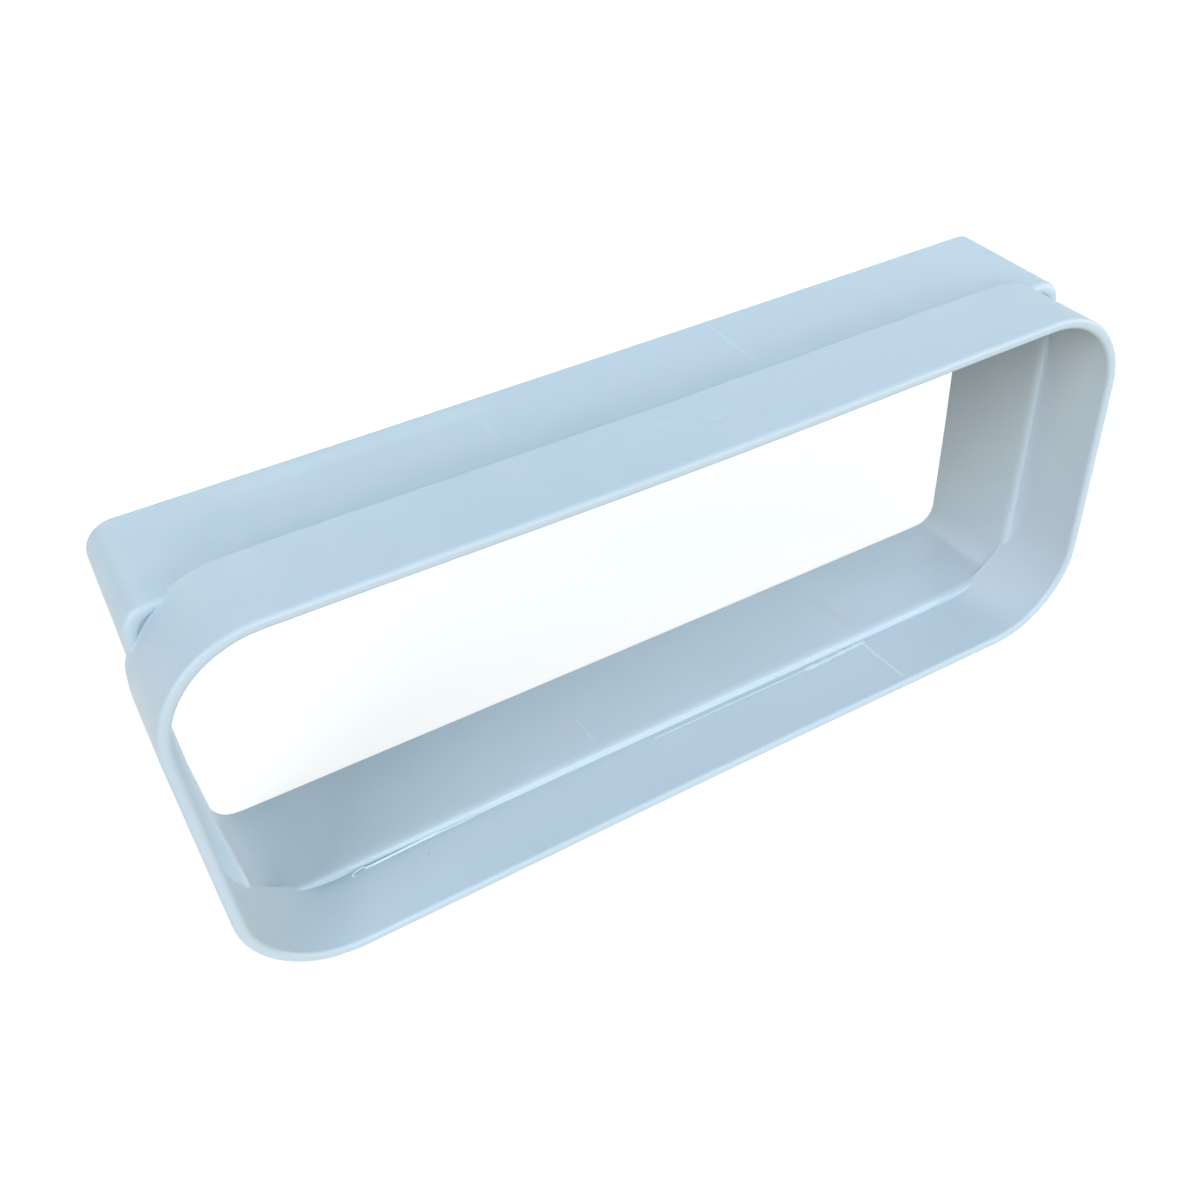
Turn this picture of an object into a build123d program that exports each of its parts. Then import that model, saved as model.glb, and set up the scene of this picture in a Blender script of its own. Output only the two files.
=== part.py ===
"""Flat duct adapter: a moulded sleeve between two flat ducts of one width and height.

The socket end takes a duct with large round corners. The spigot end goes into a duct with nearly
square corners. Between them a web stops the duct in the socket on an inner ledge, and closes the
four ears where the square corners stand out past the round ones.

Millimetres. +Z is up and +X runs along the wide side. The socket opens towards -Y and the spigot
points towards +Y. The origin is at the bottom of the socket, midway along the width and the length.
"""

import os

from build123d import *

# Duct section that both ends are made for, outside sizes
DUCT_WIDTH = 222.0
DUCT_HEIGHT = 89.0
ROUND_DUCT_CORNER = 21.0
SQUARE_DUCT_CORNER = 6.5

# Gap on each side between the duct and the socket's wall
SLIP_CLEARANCE = 0.15

# Walls
SOCKET_WALL = 2.5
SPIGOT_WALL = 2.1
WEB_THICKNESS = 2.3

# Lengths along the duct
SOCKET_DEPTH = 19.2
SPIGOT_LENGTH = 28.1

# Inner corner of the spigot at the web, fuller than its wall alone would leave it, and the angle in
# degrees by which the bore opens towards its end, so that the moulding comes off its core
SPIGOT_BORE_CORNER = 4.8
SPIGOT_BORE_DRAFT = 0.7

# Relief in the face of each ear, beside the socket's arc
EAR_NOSE = 2.9
EAR_RELIEF_DEPTH = 0.9

# Edge rounds
RIM_ROUND = 0.95
STEP_ROUND = 0.4
EAR_ROUND = 1.5
LEDGE_ROUND = 2.2
SPIGOT_END_ROUND = 0.45

# Bore and outside of the socket
socket_bore_width = DUCT_WIDTH + 2 * SLIP_CLEARANCE
socket_bore_height = DUCT_HEIGHT + 2 * SLIP_CLEARANCE
socket_bore_corner = ROUND_DUCT_CORNER + SLIP_CLEARANCE
socket_width = socket_bore_width + 2 * SOCKET_WALL
socket_height = socket_bore_height + 2 * SOCKET_WALL
socket_corner = socket_bore_corner + SOCKET_WALL

# Bore of the spigot at the web. The spigot's outside is the duct section itself.
spigot_bore_width = DUCT_WIDTH - 2 * SPIGOT_WALL
spigot_bore_height = DUCT_HEIGHT - 2 * SPIGOT_WALL

# Outline of the ears' relief, inside the nose that is left standing
relief_width = DUCT_WIDTH - 2 * EAR_NOSE
relief_height = DUCT_HEIGHT - 2 * EAR_NOSE
relief_corner = SQUARE_DUCT_CORNER - EAR_NOSE

# Plate that the round lip of the ledge is drawn on, twice the round wider than the spigot's bore
lip_plate_width = spigot_bore_width + 4 * LEDGE_ROUND
lip_plate_height = spigot_bore_height + 4 * LEDGE_ROUND
lip_plate_corner = SPIGOT_BORE_CORNER + 2 * LEDGE_ROUND

# Stations along Y: the socket's rim and the web's two faces
total_length = SOCKET_DEPTH + WEB_THICKNESS + SPIGOT_LENGTH
rim_y = -total_length / 2
ledge_y = rim_y + SOCKET_DEPTH
web_back_y = ledge_y + WEB_THICKNESS
centre_z = socket_height / 2


def section_plane(y):
    """Plane across the duct at one station, facing the spigot's end, with its top towards +Z."""
    return Plane(origin=(0, y, centre_z), x_dir=(-1, 0, 0), z_dir=(0, 1, 0))


# Outside of the socket, back to the web's rear face, where its edge rolls over the step
with BuildPart() as socket_block:
    with BuildSketch(section_plane(rim_y)):
        RectangleRounded(socket_width, socket_height, socket_corner)
    extrude(amount=SOCKET_DEPTH + WEB_THICKNESS)
    fillet(socket_block.edges().group_by(Axis.Y)[-1], radius=STEP_ROUND)

# Outside of the spigot from the ledge on, whose front edge is the round nose of the four ears. The
# relief inside the nose is filled again by the socket, except beside the arcs of its corners.
with BuildPart() as spigot_block:
    with BuildSketch(section_plane(ledge_y)):
        RectangleRounded(DUCT_WIDTH, DUCT_HEIGHT, SQUARE_DUCT_CORNER)
    extrude(amount=WEB_THICKNESS + SPIGOT_LENGTH)
    fillet(spigot_block.edges().group_by(Axis.Y)[0], radius=EAR_ROUND)
    with BuildSketch(section_plane(ledge_y)):
        RectangleRounded(relief_width, relief_height, relief_corner)
    extrude(amount=EAR_RELIEF_DEPTH, mode=Mode.SUBTRACT)

# Way through the web: the spigot's bore with a round lip at the ledge, trimmed to the socket's bore
with BuildPart() as web_passage:
    with BuildSketch(section_plane(ledge_y)):
        RectangleRounded(lip_plate_width, lip_plate_height, lip_plate_corner)
    extrude(amount=-LEDGE_ROUND)
    with BuildSketch(section_plane(ledge_y)):
        RectangleRounded(spigot_bore_width, spigot_bore_height, SPIGOT_BORE_CORNER)
    extrude(amount=WEB_THICKNESS)
    lip_face = web_passage.faces().filter_by(Axis.Y).sort_by(Axis.Y)[1]
    fillet(lip_face.inner_wires()[0].edges(), radius=LEDGE_ROUND)
    with BuildSketch(section_plane(rim_y)):
        RectangleRounded(socket_bore_width, socket_bore_height, socket_bore_corner)
    extrude(amount=SOCKET_DEPTH + WEB_THICKNESS, mode=Mode.INTERSECT)

# The one moulded piece
with BuildPart() as adapter_body:
    add(socket_block.part)
    add(spigot_block.part)

    # Socket bore down to the ledge, spigot bore up to the web's rear face, and the way between them
    with BuildSketch(section_plane(rim_y)):
        RectangleRounded(socket_bore_width, socket_bore_height, socket_bore_corner)
    extrude(amount=SOCKET_DEPTH, mode=Mode.SUBTRACT)
    with BuildSketch(section_plane(web_back_y)):
        RectangleRounded(spigot_bore_width, spigot_bore_height, SPIGOT_BORE_CORNER)
    extrude(amount=SPIGOT_LENGTH, taper=-SPIGOT_BORE_DRAFT, mode=Mode.SUBTRACT)
    add(web_passage.part, mode=Mode.SUBTRACT)

    # Rounded rim of the socket and eased end of the spigot
    fillet(adapter_body.edges().group_by(Axis.Y)[0], radius=RIM_ROUND)
    fillet(adapter_body.edges().group_by(Axis.Y)[-1], radius=SPIGOT_END_ROUND)

adapter_body.part.label = "adapter_body"

os.makedirs("parts", exist_ok=True)
export_step(adapter_body.part, "parts/adapter_body.step")
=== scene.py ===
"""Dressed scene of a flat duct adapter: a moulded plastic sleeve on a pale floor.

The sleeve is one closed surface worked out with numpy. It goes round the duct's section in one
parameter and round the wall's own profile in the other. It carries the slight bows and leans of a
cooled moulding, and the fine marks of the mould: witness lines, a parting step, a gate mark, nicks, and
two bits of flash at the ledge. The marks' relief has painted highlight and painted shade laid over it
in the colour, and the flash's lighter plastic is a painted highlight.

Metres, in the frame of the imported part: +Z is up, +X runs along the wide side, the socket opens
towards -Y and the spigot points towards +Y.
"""

from __future__ import annotations

import logging
import math
from dataclasses import dataclass, replace
from enum import Enum
from typing import Protocol

import bpy
import numpy as np
from mathutils import Matrix, Vector


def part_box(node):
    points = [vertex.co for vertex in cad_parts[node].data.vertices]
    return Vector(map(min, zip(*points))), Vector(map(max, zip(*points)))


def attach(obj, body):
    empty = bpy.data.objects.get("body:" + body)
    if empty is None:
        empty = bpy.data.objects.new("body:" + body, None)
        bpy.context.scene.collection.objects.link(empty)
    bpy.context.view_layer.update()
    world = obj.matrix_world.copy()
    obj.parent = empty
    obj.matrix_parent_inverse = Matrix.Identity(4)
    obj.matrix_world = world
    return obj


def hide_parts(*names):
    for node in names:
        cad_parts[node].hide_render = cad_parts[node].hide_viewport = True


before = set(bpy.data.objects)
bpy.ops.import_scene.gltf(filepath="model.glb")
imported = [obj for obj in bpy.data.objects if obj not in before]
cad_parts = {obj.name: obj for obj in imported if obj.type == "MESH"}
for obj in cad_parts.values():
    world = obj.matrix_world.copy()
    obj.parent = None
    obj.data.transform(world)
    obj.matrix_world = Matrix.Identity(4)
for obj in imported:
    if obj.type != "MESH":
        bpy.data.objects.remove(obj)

LOG = logging.getLogger("duct_adapter")
MM = 0.001
BODY_NODE = "adapter_body"
BODY = "root"
# Point attribute of the marks' painted highlight, above 0, and painted shade, below 0.
PAINTED_LIGHT_LAYER = "mark_painted_light"
CREASE_ANGLE = math.radians(38.0)

Colour = tuple[float, float, float]
Place = tuple[float, float, float]


class Side(Enum):
    """Flat sides of the section, counted as the section is walked from the right over the top."""

    RIGHT = 0
    TOP = 1
    LEFT = 2
    BOTTOM = 3


class Band(Enum):
    """Stretches of the wall's closed profile, in the order in which the surface runs over them."""

    RIM_OUTER_ROUND = 0
    SOCKET_OUTSIDE = 1
    OUTER_STEP = 2
    SPIGOT_OUTSIDE = 3
    END_OUTER_ROUND = 4
    END_FACE = 5
    END_INNER_ROUND = 6
    SPIGOT_BORE = 7
    LEDGE = 8
    SOCKET_BORE = 9
    RIM_INNER_ROUND = 10
    RIM_FACE = 11


OUTWARD = {
    Band.SOCKET_OUTSIDE: 1.0,
    Band.SPIGOT_OUTSIDE: 1.0,
    Band.SPIGOT_BORE: -1.0,
    Band.SOCKET_BORE: -1.0,
}
RIM_BANDS = (Band.RIM_INNER_ROUND, Band.RIM_FACE, Band.RIM_OUTER_ROUND)


def smooth_step(low: float, high: float, values: np.ndarray) -> np.ndarray:
    """Ramp from 0 at low to 1 at high with level ends, 3t^2 - 2t^3.

    Args:
        low: Value where the ramp leaves 0.
        high: Value where the ramp reaches 1.
        values: Places at which the ramp is wanted.

    Returns:
        The ramp's height at each place.
    """
    share = np.clip((values - low) / (high - low), 0.0, 1.0)
    return share * share * (3.0 - 2.0 * share)


def window(start: float, end: float, fade: float, values: np.ndarray) -> np.ndarray:
    """Plateau of height 1 between start and end, with a smooth ramp inside each end.

    Args:
        start: Lower end of the plateau's foot.
        end: Upper end of the plateau's foot.
        fade: Length of each ramp.
        values: Places at which the plateau is wanted.

    Returns:
        The plateau's height at each place.
    """
    rise = smooth_step(start, start + fade, values)
    fall = 1.0 - smooth_step(end - fade, end, values)
    return rise * fall


def bell(values: np.ndarray, centre: float, half_width: float) -> np.ndarray:
    """Bell curve of height 1, exp(-((v - centre) / half width)^2).

    Args:
        values: Places at which the bell is wanted.
        centre: Place of the bell's top.
        half_width: Distance at which the bell has fallen to 1/e.

    Returns:
        The bell's height at each place.
    """
    return np.exp(-(((values - centre) / half_width) ** 2))


def spread(low: float, high: float, pitch: float, extra: np.ndarray) -> np.ndarray:
    """Sorted places from low to high at an even pitch, with extra places worked in.

    Args:
        low: First place, always kept.
        high: Last place, always kept.
        pitch: Largest distance between even places.
        extra: Further places, such as those that a fine mark needs.

    Returns:
        The places, none nearer to its neighbour than the smallest gap.
    """
    smallest_gap = 0.04 * MM
    room_at_extra = 0.3 * pitch
    even = np.linspace(low, high, math.ceil((high - low) / pitch) + 1)
    inner = extra[(extra > low + smallest_gap) & (extra < high - smallest_gap)]
    clear = np.abs(even[:, None] - np.append(inner, np.inf)[None, :]).min(axis=1) > room_at_extra
    clear[[0, -1]] = True
    places = np.sort(np.concatenate([even[clear], inner]))
    keep = np.append(True, np.diff(places) > smallest_gap)
    return places[keep]


def grid_mesh(name: str, points: np.ndarray, capped: bool) -> bpy.types.Mesh:
    """Mesh over a grid of points whose columns close on themselves.

    Quads join each row to the next. A ring of rows is closed too, unless the ends are capped with one
    polygon each. The first edge of a quad runs along the rows, so that faces point outwards when the
    columns run anticlockwise round the rows' direction.

    Args:
        name: Name of the mesh.
        points: Array of rows by columns by three coordinates.
        capped: True for a tube with two closed ends, False for a surface closed both ways.

    Returns:
        The mesh, smooth shaded, with sharp creases kept sharp.
    """
    rows, columns, _ = points.shape
    index = np.arange(rows * columns).reshape(rows, columns)
    if not capped:
        index = np.vstack([index, index[:1]])
    index = np.hstack([index, index[:, :1]])
    quads = np.stack([index[:-1, :-1], index[1:, :-1], index[1:, 1:], index[:-1, 1:]], axis=-1)
    faces = quads.reshape(-1, 4).tolist()
    if capped:
        faces.append(index[0, :-1].tolist())
        faces.append(index[-1, -2::-1].tolist())
    mesh = bpy.data.meshes.new(name)
    mesh.from_pydata(points.reshape(-1, 3), [], faces)
    mesh.polygons.foreach_set("use_smooth", np.ones(len(mesh.polygons), dtype=bool))
    mesh.set_sharp_from_angle(angle=CREASE_ANGLE)
    mesh.update()
    return mesh


def place_piece(name: str, mesh: bpy.types.Mesh, material: bpy.types.Material) -> bpy.types.Object:
    """Object at the origin that shows a mesh in one material.

    Args:
        name: Name of the piece.
        mesh: Mesh that already holds the piece's place.
        material: Finish of the piece.

    Returns:
        The linked object.
    """
    piece = bpy.data.objects.new(name, mesh)
    mesh.materials.append(material)
    bpy.context.scene.collection.objects.link(piece)
    return piece


@dataclass(frozen=True)
class SleeveSizes:
    """Sizes of the sleeve. The overall ones come from the frame, and the walls are measured inwards.

    The wall's section is set out from the socket's outside. Every wall keeps one distance from it on
    the flats, so a single skeleton rectangle carries all four outlines.
    """

    width: float
    height: float
    front_y: float
    end_y: float
    centre_z: float
    socket_corner: float = 23.65 * MM
    socket_wall: float = 2.5 * MM
    slip: float = 0.15 * MM
    spigot_wall: float = 2.1 * MM
    spigot_corner: float = 6.5 * MM
    spigot_bore_corner: float = 4.8 * MM
    spigot_bore_draft: float = math.radians(0.7)
    socket_depth: float = 19.2 * MM
    web: float = 2.3 * MM
    rim_round: float = 0.95 * MM
    step_round: float = 0.4 * MM
    ear_round: float = 1.5 * MM
    ear_nose: float = 2.9 * MM
    ear_relief: float = 0.9 * MM
    ledge_round: float = 2.2 * MM
    ledge_drop: float = 1.15 * MM
    lip_round: float = 0.3 * MM
    end_round: float = 0.45 * MM

    @classmethod
    def from_node(cls, node: str) -> SleeveSizes:
        """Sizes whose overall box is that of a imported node.

        Args:
            node: Name of the node.

        Returns:
            The sizes.
        """
        low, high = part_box(node)
        return cls(
            width=high.x - low.x,
            height=high.z - low.z,
            front_y=low.y,
            end_y=high.y,
            centre_z=(low.z + high.z) / 2,
        )

    @property
    def ledge_y(self) -> float:
        """Station of the ledge that stops the duct in the socket."""
        return self.front_y + self.socket_depth

    @property
    def step_y(self) -> float:
        """Station of the outer step behind the socket."""
        return self.ledge_y + self.web

    @property
    def spigot_inset(self) -> float:
        """Distance from the socket's outside in to the spigot's outside."""
        return self.socket_wall + self.slip

    @property
    def bore_opening(self) -> float:
        """Distance by which the spigot's bore has opened on each side at its end."""
        return (self.end_y - self.step_y) * math.tan(self.spigot_bore_draft)

    @property
    def skeleton(self) -> tuple[float, float]:
        """Half width and half height of the rectangle through the corners' centres."""
        return self.width / 2 - self.socket_corner, self.height / 2 - self.socket_corner

    @property
    def floor_of_socket(self) -> float:
        """Height of the socket's lower inside face."""
        return self.centre_z - self.height / 2 + self.socket_wall


class Mark(Protocol):
    """Fine relief that a mould leaves on one flat of one wall, with a painted highlight or shade over it."""

    band: Band
    side: Side
    tone: float

    def columns(self) -> np.ndarray:
        """Places along the flat that the mark's shape needs."""

    def stations(self) -> np.ndarray:
        """Distances behind the front rim that the mark's shape needs."""

    def relief(self, along: np.ndarray, depth: np.ndarray) -> np.ndarray:
        """Height of the mark over the wall."""

    def shade(self, along: np.ndarray, depth: np.ndarray) -> np.ndarray:
        """Painted tone of the mark: above 0 a painted highlight where it stands up, below 0 a painted shade.
        """


@dataclass(frozen=True)
class ShapedMark:
    """Mark whose relief and painted tone follow one shape: a height and a tone, each times 0 to 1."""

    band: Band
    side: Side
    height: float
    tone: float

    def shape(self, along: np.ndarray, depth: np.ndarray) -> np.ndarray:
        """Value from 0 off the mark to 1 on it, which each kind of mark works out for itself."""
        raise NotImplementedError

    def relief(self, along: np.ndarray, depth: np.ndarray) -> np.ndarray:
        """Height of the mark over the wall."""
        return self.height * self.shape(along, depth)

    def shade(self, along: np.ndarray, depth: np.ndarray) -> np.ndarray:
        """Painted highlight where the mark stands up, painted shade where it sinks, strongest where its shape
        is 1.
        """
        return self.tone * self.shape(along, depth)


@dataclass(frozen=True)
class WitnessLine(ShapedMark):
    """Thin ridge along the duct, left where two mould inserts met."""

    at: float
    start: float
    end: float
    half_width: float = 0.28 * MM
    lean: float = 0.0
    fade: float = 1.5 * MM

    def columns(self) -> np.ndarray:
        """Places across the ridge, close together at its top."""
        steps = np.array([-2.0, -1.4, -0.9, -0.5, 0.0, 0.5, 0.9, 1.4, 2.0])
        return self.at + self.half_width * steps

    def stations(self) -> np.ndarray:
        """Distances behind the rim at which the ridge starts and ends."""
        return np.array([self.start, self.start + self.fade, self.end - self.fade, self.end])

    def shape(self, along: np.ndarray, depth: np.ndarray) -> np.ndarray:
        """Bell across the line, times a window along it. A lean moves the line sideways as it goes.

        Args:
            along: Places along the flat.
            depth: Distances behind the front rim.

        Returns:
            Value from 0 off the line to 1 on its top.
        """
        share = (depth - self.start) / (self.end - self.start)
        across = bell(along - self.lean * share, self.at, self.half_width)
        return across * window(self.start, self.end, self.fade, depth)


@dataclass(frozen=True)
class PartingStep(ShapedMark):
    """Low step across the duct: the wall stands a little higher behind one station."""

    depth_of_line: float
    start: float
    end: float
    ramp: float = 0.5 * MM
    fade: float = 14.0 * MM

    def columns(self) -> np.ndarray:
        """Places where the step fades in and out."""
        return np.array([self.start, self.end])

    def stations(self) -> np.ndarray:
        """Distances behind the rim across the step's ramp."""
        steps = np.array([-1.5, -1.0, -0.5, 0.0, 0.5, 1.0, 1.5])
        return self.depth_of_line + self.ramp * steps

    def shape(self, along: np.ndarray, depth: np.ndarray) -> np.ndarray:
        """Ramp across the line, times a window along it.

        Args:
            along: Places along the flat.
            depth: Distances behind the front rim.

        Returns:
            Value from 0 before the line to 1 behind it.
        """
        ramp = smooth_step(self.depth_of_line - self.ramp, self.depth_of_line + self.ramp, depth)
        return ramp * window(self.start, self.end, self.fade, along)


@dataclass(frozen=True)
class GateMark:
    """Faint trace where the plastic was fed in: a sagging groove, a lip behind it and a smear. The groove
    carries painted shade, and the lip and the smear a painted highlight.

    The ends, fades, middle and length of groove and lip, and the span of the columns, are in half
    lengths of the trace. The span of the stations is in millimetres behind it.
    """

    band: Band
    side: Side
    at: float
    depth_at: float
    half_length: float
    sag: float
    dip: float
    lip: float
    # Strength of the painted shade in the groove and the painted highlight on the lip and the smear.
    tone: float
    groove_half: float = 0.4 * MM
    groove_ends: tuple[float, float] = (-1.35, 0.9)
    groove_fade: float = 0.5
    lip_offset: float = 1.4 * MM
    lip_half: float = 0.85 * MM
    lip_middle: float = -0.05
    lip_length: float = 0.6
    smear_offset: tuple[float, float] = (-10.4 * MM, 5.3 * MM)
    smear_half: tuple[float, float] = (2.1 * MM, 0.9 * MM)
    smear_slant: float = 0.5
    smear_height: float = 0.4
    smear_painted_highlight: float = 0.9
    column_span: tuple[float, float] = (-4.2, 2.0)
    column_count: int = 54
    station_span: tuple[float, float] = (-1.2, 8.0)
    station_count: int = 32

    def columns(self) -> np.ndarray:
        """Places over the trace at a fine pitch."""
        return self.at + self.half_length * np.linspace(*self.column_span, self.column_count)

    def stations(self) -> np.ndarray:
        """Distances behind the rim over the trace at a fine pitch."""
        return self.depth_at + MM * np.linspace(*self.station_span, self.station_count)

    def parts(self, along: np.ndarray, depth: np.ndarray) -> tuple[np.ndarray, np.ndarray, np.ndarray]:
        """Groove, lip and smear, each as a bell about its own line.

        The groove's line is a parabola that sags towards the rim. The lip keeps one distance behind it.
        The smear is a short slanted streak off the groove's left end.

        Args:
            along: Places along the flat.
            depth: Distances behind the front rim.

        Returns:
            The three shapes, each from 0 to 1.
        """
        length = (along - self.at) / self.half_length
        behind = depth - self.depth_at - self.sag * length**2
        groove_length = window(*self.groove_ends, self.groove_fade, length)
        groove = bell(behind, 0.0, self.groove_half) * groove_length
        lip_length = bell(length, self.lip_middle, self.lip_length)
        lip = bell(behind, self.lip_offset, self.lip_half) * lip_length
        across = along - self.at - self.smear_offset[0]
        back = depth - self.depth_at - self.smear_offset[1] + self.smear_slant * across
        smear = bell(across, 0.0, self.smear_half[0]) * bell(back, 0.0, self.smear_half[1])
        return groove, lip, smear

    def relief(self, along: np.ndarray, depth: np.ndarray) -> np.ndarray:
        """Groove sunk into the wall, with the lip and a part of the smear raised over it.

        Args:
            along: Places along the flat.
            depth: Distances behind the front rim.

        Returns:
            Height over the wall, negative in the groove.
        """
        groove, lip, smear = self.parts(along, depth)
        return self.lip * (lip + self.smear_height * smear) - self.dip * groove

    def shade(self, along: np.ndarray, depth: np.ndarray) -> np.ndarray:
        """Painted shade in the groove, painted highlight on the lip and the smear.

        Args:
            along: Places along the flat.
            depth: Distances behind the front rim.

        Returns:
            The painted tone.
        """
        groove, lip, smear = self.parts(along, depth)
        return self.tone * (lip + self.smear_painted_highlight * smear - groove)


@dataclass(frozen=True)
class Nick:
    """Small dent that pushes an edge back along the duct, at one place on a flat or beside it."""

    bands: tuple[Band, ...]
    centre: tuple[float, float]
    half_width: float
    dip: float

    def push(self, across: np.ndarray, up: np.ndarray) -> np.ndarray:
        """Round bell about the nick's centre in the plane of the section.

        Args:
            across: X of each point.
            up: Height of each point above the section's centre.

        Returns:
            Distance by which each point goes back along +Y.
        """
        reach = np.hypot(across - self.centre[0], up - self.centre[1])
        return self.dip * bell(reach, 0.0, self.half_width)


@dataclass(frozen=True)
class SectionRays:
    """Rays across the wall, one for each column, from the skeleton rectangle outwards."""

    foot: np.ndarray
    ray: np.ndarray
    turn: np.ndarray
    side: np.ndarray
    along: np.ndarray

    CORNER_SIDE = -1

    @classmethod
    def around(cls, sizes: SleeveSizes, marks: tuple[Mark, ...]) -> SectionRays:
        """Rays right round the section, anticlockwise as seen from the front.

        On a flat the foot moves along the skeleton's edge and the ray stands square to it. At a corner
        the foot stays and the ray turns by a quarter. Columns are added where a mark needs them and
        where the round and the square corners cross.

        Args:
            sizes: Sizes of the sleeve.
            marks: Marks whose columns are worked in.

        Returns:
            The rays.
        """
        half_width, half_height = sizes.skeleton
        half_lengths = (half_height, half_width, half_height, half_width)
        directions = (1.0, -1.0, -1.0, 1.0)
        pitches = (2.2 * MM, 1.6 * MM, 2.2 * MM, 1.6 * MM)
        corner_turns = cls.corner_turns(sizes)
        feet, rays, turns, sides, alongs = [], [], [], [], []
        for side, half, direction, pitch in zip(Side, half_lengths, directions, pitches):
            quarter = side.value * math.pi / 2
            normal = np.array([math.cos(quarter), math.sin(quarter)])
            tangent = np.array([-math.sin(quarter), math.cos(quarter)])
            stand_off = half_width if side in (Side.RIGHT, Side.LEFT) else half_height
            wanted = [mark.columns() * direction for mark in marks if mark.side is side]
            step = spread(-half, half, pitch, np.concatenate([np.empty(0), *wanted]))
            feet.append(normal * stand_off + tangent * step[:, None])
            rays.append(np.tile(normal, (len(step), 1)))
            turns.append(np.zeros(len(step)))
            sides.append(np.full(len(step), side.value))
            alongs.append(step * direction)
            corner = normal * stand_off + tangent * half
            feet.append(np.tile(corner, (len(corner_turns), 1)))
            rays.append(
                normal * np.cos(corner_turns)[:, None] + tangent * np.sin(corner_turns)[:, None]
            )
            turns.append(corner_turns)
            sides.append(np.full(len(corner_turns), cls.CORNER_SIDE))
            alongs.append(np.zeros(len(corner_turns)))
        return cls(
            np.concatenate(feet),
            np.concatenate(rays),
            np.concatenate(turns),
            np.concatenate(sides),
            np.concatenate(alongs),
        )

    @staticmethod
    def corner_turns(sizes: SleeveSizes) -> np.ndarray:
        """Angles of the rays inside one corner, without its two ends.

        Args:
            sizes: Sizes of the sleeve.

        Returns:
            Sorted angles between 0 and a quarter turn.
        """
        outer_crossing = math.acos(1 - sizes.spigot_inset / sizes.socket_corner)
        bore_radius = sizes.socket_corner - sizes.socket_wall
        spigot_bore = sizes.socket_corner - sizes.spigot_inset - sizes.spigot_wall
        inner_crossing = math.acos(spigot_bore / bore_radius)
        beside = np.radians([-2.0, -0.8, 0.0, 0.8, 2.0])
        even_steps = 44
        room_at_exact = math.radians(0.7)
        smallest_gap = math.radians(0.1)
        lower = np.concatenate([[outer_crossing, inner_crossing], outer_crossing + beside])
        exact = np.concatenate([lower, math.pi / 2 - lower])
        even = np.linspace(0.0, math.pi / 2, even_steps + 1)[1:-1]
        clear = np.abs(even[:, None] - exact[None, :]).min(axis=1) > room_at_exact
        angles = np.sort(np.concatenate([even[clear], exact]))
        return angles[np.append(True, np.diff(angles) > smallest_gap)]

    def reach(self, inset: float, corner: float, sizes: SleeveSizes) -> np.ndarray:
        """Distance along each ray to one outline of the section.

        On a flat that is the skeleton's stand-off less the inset. In a corner it is the distance from
        the skeleton's corner to a straight wall, a / cos(turn), or where the ray meets the outline's
        own arc, the root of a quadratic in the distance.

        Args:
            inset: Distance of the outline in from the socket's outside.
            corner: Corner radius of the outline.
            sizes: Sizes of the sleeve.

        Returns:
            One distance for each ray.
        """
        flat = sizes.socket_corner - inset
        middle = flat - corner
        cosine, sine = np.cos(self.turn), np.sin(self.turn)
        straight = flat / np.maximum(cosine, sine)
        room = corner**2 - middle**2 * (1.0 - 2.0 * sine * cosine)
        arc = middle * (cosine + sine) + np.sqrt(np.maximum(room, 0.0))
        on_arc = np.minimum(cosine, sine) * straight > middle
        return np.where(on_arc, arc, straight)


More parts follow.
